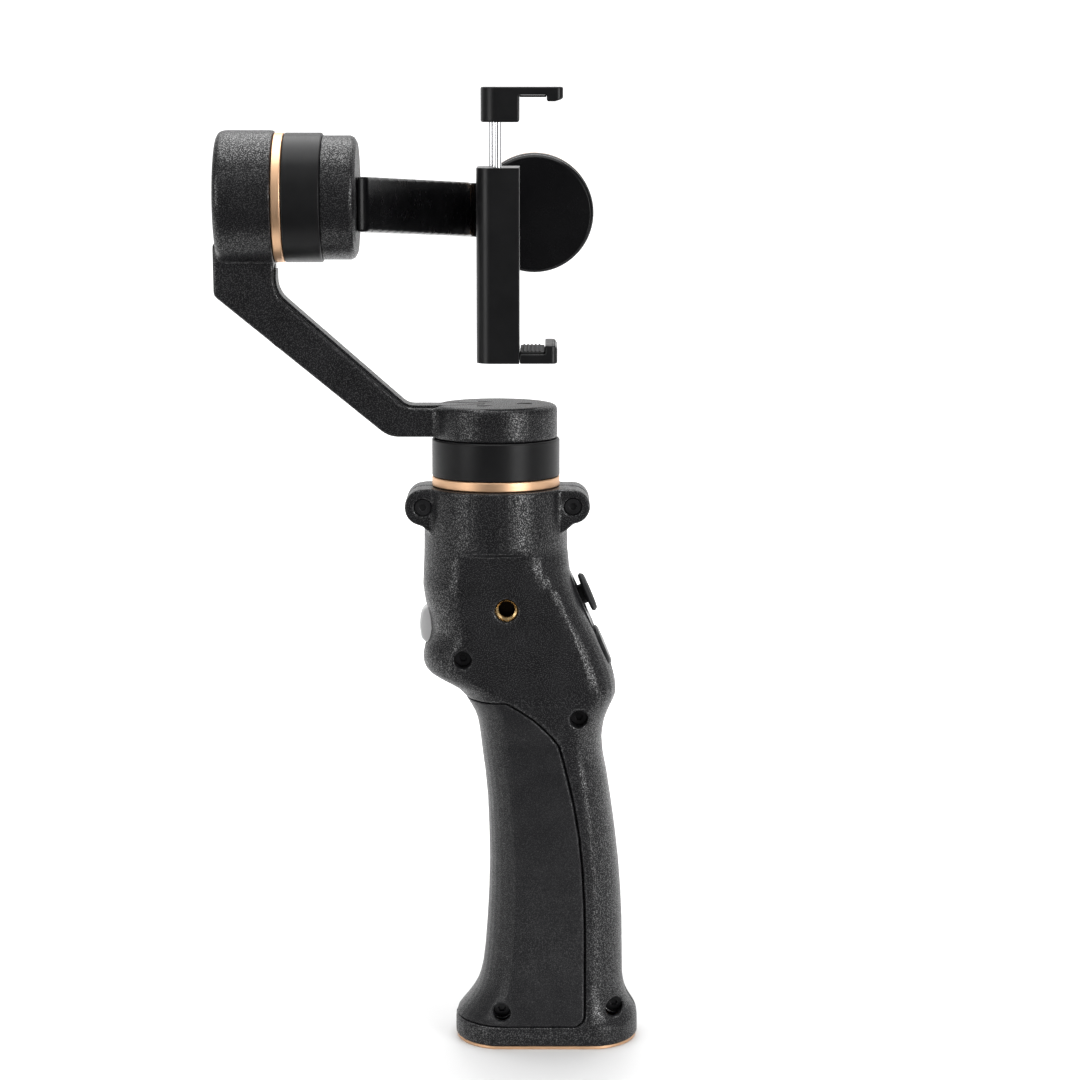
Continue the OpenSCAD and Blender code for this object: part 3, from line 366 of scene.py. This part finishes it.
def insert_thread():
    """Helical thread turns that line the tripod insert's bore."""
    low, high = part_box("tripod_insert")
    centre = (low + high) / 2
    pitch = 1.27 * MM
    wall_r, crest_r = 3.24 * MM, 2.6 * MM
    turns, steps = 5, 48
    vertices, faces = [], []
    for i in range(turns * steps + 1):
        angle = 2 * math.pi * i / steps
        lead_in = min(1.0, 2.0 * i / steps)
        inner_r = wall_r + (crest_r - wall_r) * lead_in
        along = low.y + 0.5 * MM + pitch * (i / steps + 0.42)
        section = [(wall_r, -0.42), (inner_r, -0.06), (inner_r, 0.06), (wall_r, 0.42)]
        vertices += [(centre.x + r * math.cos(angle), along + pitch * part, centre.z + r * math.sin(angle))
                     for r, part in section]
    count = 4
    for i in range(turns * steps):
        for j in range(count):
            k = (j + 1) % count
            faces.append([i * count + j, i * count + k, (i + 1) * count + k, (i + 1) * count + j])
    faces.append(list(reversed(range(count))))
    faces.append([turns * steps * count + j for j in range(count)])
    mesh = bpy.data.meshes.new("insert_thread")
    mesh.from_pydata(vertices, [], faces)
    piece = bpy.data.objects.new("insert_thread", mesh)
    bpy.context.scene.collection.objects.link(piece)
    # The thread takes the brass with painted shade deeper in the bore
    dress(piece, "bored_brass")
    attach(piece, "handle")


# Edge breaks that differ from the usual one; nodes shown by a stand-in get none
breaks = {
    "yaw_arm_cable": 0.0,
    "upper_jaw": 0.6 * MM,
    "lower_jaw": 0.5 * MM,
    "tilt_hub": 0.25 * MM,
}


def hub_marks():
    """Plain bars inlaid in the pan hub's top, in three pairs."""
    inside_hub = 18 * MM
    top_z = max(v.co.z for v in nodes["yaw_arm"].data.vertices if math.hypot(v.co.x, v.co.y) < inside_hub)
    proud = 0.06 * MM
    sunk = 0.3 * MM
    # Middle x, middle y and length of each bar, in millimetres
    rows = [
        (-3.4, 5.6, 4.6), (-4.2, 7.4, 3.0),
        (-3.4, -5.6, 4.6), (-4.2, -7.4, 3.0),
        (9.0, 0.6, 4.8), (9.6, 2.4, 2.6),
    ]
    vertices, faces = [], []
    half_width = 0.42
    end_steps = 6
    for x, y, length in rows:
        rim = []
        for end, start in ((1, -90), (-1, 90)):
            for i in range(end_steps + 1):
                angle = math.radians(start + 180 * i / end_steps)
                rim.append((x + end * (length / 2 - half_width) + half_width * math.cos(angle),
                            y + half_width * math.sin(angle)))
        first, count = len(vertices), len(rim)
        for z in (top_z - sunk, top_z + proud):
            vertices += [(px * MM, py * MM, z) for px, py in rim]
        faces.append([first + i for i in reversed(range(count))])
        faces.append([first + count + i for i in range(count)])
        for i in range(count):
            j = (i + 1) % count
            faces.append([first + i, first + j, first + count + j, first + count + i])
    mesh = bpy.data.meshes.new("hub_marks")
    mesh.from_pydata(vertices, [], faces)
    piece = bpy.data.objects.new("hub_marks", mesh)
    bpy.context.scene.collection.objects.link(piece)
    dress(piece, "smooth_black")
    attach(piece, "yaw_frame")


hub_marks()
insert_thread()
coil_springs()
USUAL_BREAK = 0.15 * MM
WIDE_BREAK = 0.3 * MM
for node_name in nodes:
    if not nodes[node_name].hide_render:
        width = breaks.get(node_name, USUAL_BREAK)
        crisp(node_name, width, 3 if width > WIDE_BREAK else 2)

# ---- Stage ----


def area_light(name, place, target, width, height, brightness):
    """Softbox. Brightness is its radiance."""
    light = bpy.data.lights.new(name, "AREA")
    light.shape = "RECTANGLE"
    light.size = width
    light.size_y = height
    light.energy = brightness * math.pi * width * height
    lamp = bpy.data.objects.new(name, light)
    lamp.location = place
    lamp.rotation_euler = (Vector(target) - Vector(place)).to_track_quat("-Z", "Y").to_euler()
    bpy.context.scene.collection.objects.link(lamp)


def sweep_floor():
    """Pale floor that curves up into a backdrop; near the object it is darker, as a painted contact
    shadow, and away from the object it glows faintly.
    """
    half_width = 3.0
    front = -0.16
    back = 2.2
    radius = 0.8
    profile = [(front, 0.0), (back, 0.0)]
    bend_steps = 16
    for i in range(1, bend_steps + 1):
        angle = math.radians(90 * i / bend_steps)
        profile.append((back + radius * math.sin(angle), radius - radius * math.cos(angle)))
    profile.append((back + radius, 3.0))
    vertices = [(side * half_width, y, z) for y, z in profile for side in (-1, 1)]
    faces = [(2 * i, 2 * i + 1, 2 * i + 3, 2 * i + 2) for i in range(len(profile) - 1)]
    mesh = bpy.data.meshes.new("floor")
    mesh.from_pydata(vertices, [], faces)
    for polygon in mesh.polygons:
        polygon.use_smooth = True
    floor = bpy.data.objects.new("floor", mesh)
    bpy.context.scene.collection.objects.link(floor)
    s = Surface("white_floor")
    reach = s.add("ShaderNodeVectorMath", operation="LENGTH")
    s.link(s.place, reach.inputs[0])
    # Painted contact shadow: near the object the floor's colour drops to 0.70 and its glow to nothing,
    # both rising over 0.06 to 0.50 m
    far = s.span(reach.outputs["Value"], 0.06, 0.50, 0.0, 1.0)
    paper = s.blend(s.noise(0.3, 2), (0.86, 0.86, 0.86), (0.90, 0.90, 0.90))
    s.colour(s.blend(far, (0.70, 0.70, 0.70), paper))
    s.roughness(s.span(s.noise(0.05, 2), 0.3, 0.7, 0.45, 0.5))
    s.shader.inputs["Emission Color"].default_value = (1, 1, 1, 1)
    backdrop_glow = 0.62
    s.link(s.span(far, 0.0, 1.0, 0.0, backdrop_glow), s.shader.inputs["Emission Strength"])
    mesh.materials.append(s.material)


def surroundings():
    """White studio all round, dimmer in front where the camera stands and below."""
    world = bpy.data.worlds.new("studio")
    bpy.context.scene.world = world
    world.use_nodes = True
    tree = world.node_tree
    background = tree.nodes["Background"]
    place = tree.nodes.new("ShaderNodeTexCoord")
    split = tree.nodes.new("ShaderNodeSeparateXYZ")
    tree.links.new(place.outputs["Generated"], split.inputs["Vector"])

    def ramp(output, low, high, to_low, to_high):
        node = tree.nodes.new("ShaderNodeMapRange")
        node.interpolation_type = "SMOOTHSTEP"
        for key, value in (("From Min", low), ("From Max", high), ("To Min", to_low), ("To Max", to_high)):
            node.inputs[key].default_value = value
        tree.links.new(split.outputs[output], node.inputs["Value"])
        return node.outputs["Result"]

    product = tree.nodes.new("ShaderNodeMath")
    product.operation = "MULTIPLY"
    tree.links.new(ramp("Y", -0.15, 0.95, 0.28, 0.95), product.inputs[0])
    tree.links.new(ramp("Z", -0.75, -0.05, 0.15, 1.0), product.inputs[1])
    seen = tree.nodes.new("ShaderNodeLightPath")
    choose = tree.nodes.new("ShaderNodeMix")
    tree.links.new(seen.outputs["Is Camera Ray"], choose.inputs["Factor"])
    tree.links.new(product.outputs[0], choose.inputs["A"])
    choose.inputs["B"].default_value = 1.0
    tree.links.new(choose.outputs["Result"], background.inputs["Strength"])
    background.inputs["Color"].default_value = (1, 1, 1, 1)


def camera():
    """Level with the motors, looking slightly down along +Y, from about a metre away."""
    data = bpy.data.cameras.new("camera")
    data.sensor_width = 36.0
    data.lens = 103.3
    eye = bpy.data.objects.new("camera", data)
    eye.location = (0.0139, -0.970, 0.302)
    eye.rotation_euler = (math.radians(81.7), 0, 0)
    bpy.context.scene.collection.objects.link(eye)
    bpy.context.scene.camera = eye


surroundings()
sweep_floor()
camera()
middle = (0.0, 0.0, 0.15)
area_light("key", (0.75, -0.82, 0.35), middle, 0.46, 0.90, 7.0)
area_light("fill", (-0.90, -0.70, 0.40), middle, 0.50, 0.90, 3.4)
area_light("top", (0.0, 0.40, 1.3), (0.0, 0.40, 0.0), 1.2, 1.65, 4.2)
area_light("front", (-0.15, -1.0, 1.25), middle, 0.9, 0.5, 1.0)

view = bpy.context.scene.view_settings
view.view_transform = "Standard"
view.look = "None"
